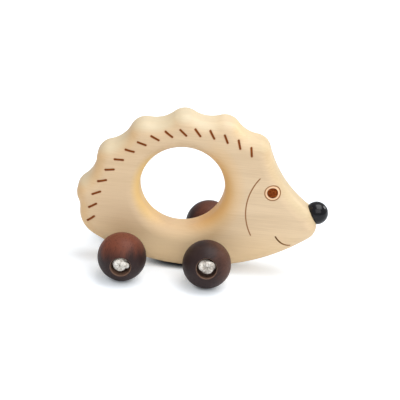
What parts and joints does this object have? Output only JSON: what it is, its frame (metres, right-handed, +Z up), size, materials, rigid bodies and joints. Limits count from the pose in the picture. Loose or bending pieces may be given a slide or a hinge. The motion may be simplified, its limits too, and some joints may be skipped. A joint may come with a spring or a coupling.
{
  "type": "wooden hedgehog push toy",
  "caption": "Wooden hedgehog figurine on free-turning ball wheels: a rounded board with a scalloped back, a round grip hole, burnt quill marks and a black bead nose, on knotted cord axles.",
  "frame": {"origin": "on the floor, midway between the tail and the tip of the nose, in the middle of the board's thickness", "axes": "+X from tail to nose, +Y across to the toy's left side, +Z up"},
  "size_m": [0.1308, 0.077, 0.0853],
  "materials": {
    "maple": "planed, sanded and oiled, marks burnt in",
    "black_lacquer": "gloss black lacquer",
    "dowel": "bare",
    "cord": "braided white cord",
    "walnut": "sanded and oiled"
  },
  "bodies": {
    "frame": {"body": "maple", "nose_bead": "black_lacquer", "nose_peg": "dowel", "front_cord": "cord", "rear_cord": "cord"},
    "wheel_front_left": {"wheel_front_left": "walnut"},
    "wheel_front_right": {"wheel_front_right": "walnut"},
    "wheel_rear_left": {"wheel_rear_left": "walnut"},
    "wheel_rear_right": {"wheel_rear_right": "walnut"}
  },
  "joints": [
    {"name": "front_left_roll", "type": "hinge", "parent": "frame", "child": "wheel_front_left", "pos_m": [0.00467, 0.026, 0.0125], "axis": [0, 0.9767, 0.2147], "continuous": true},
    {"name": "front_right_roll", "type": "hinge", "parent": "frame", "child": "wheel_front_right", "pos_m": [0.00467, -0.026, 0.0125], "axis": [0, 0.9767, -0.2147], "continuous": true},
    {"name": "rear_left_roll", "type": "hinge", "parent": "frame", "child": "wheel_rear_left", "pos_m": [-0.03883, 0.026, 0.0125], "axis": [0, 0.9969, -0.0785], "continuous": true},
    {"name": "rear_right_roll", "type": "hinge", "parent": "frame", "child": "wheel_rear_right", "pos_m": [-0.03883, -0.026, 0.0125], "axis": [0, 0.9969, 0.0785], "continuous": true}
  ]
}
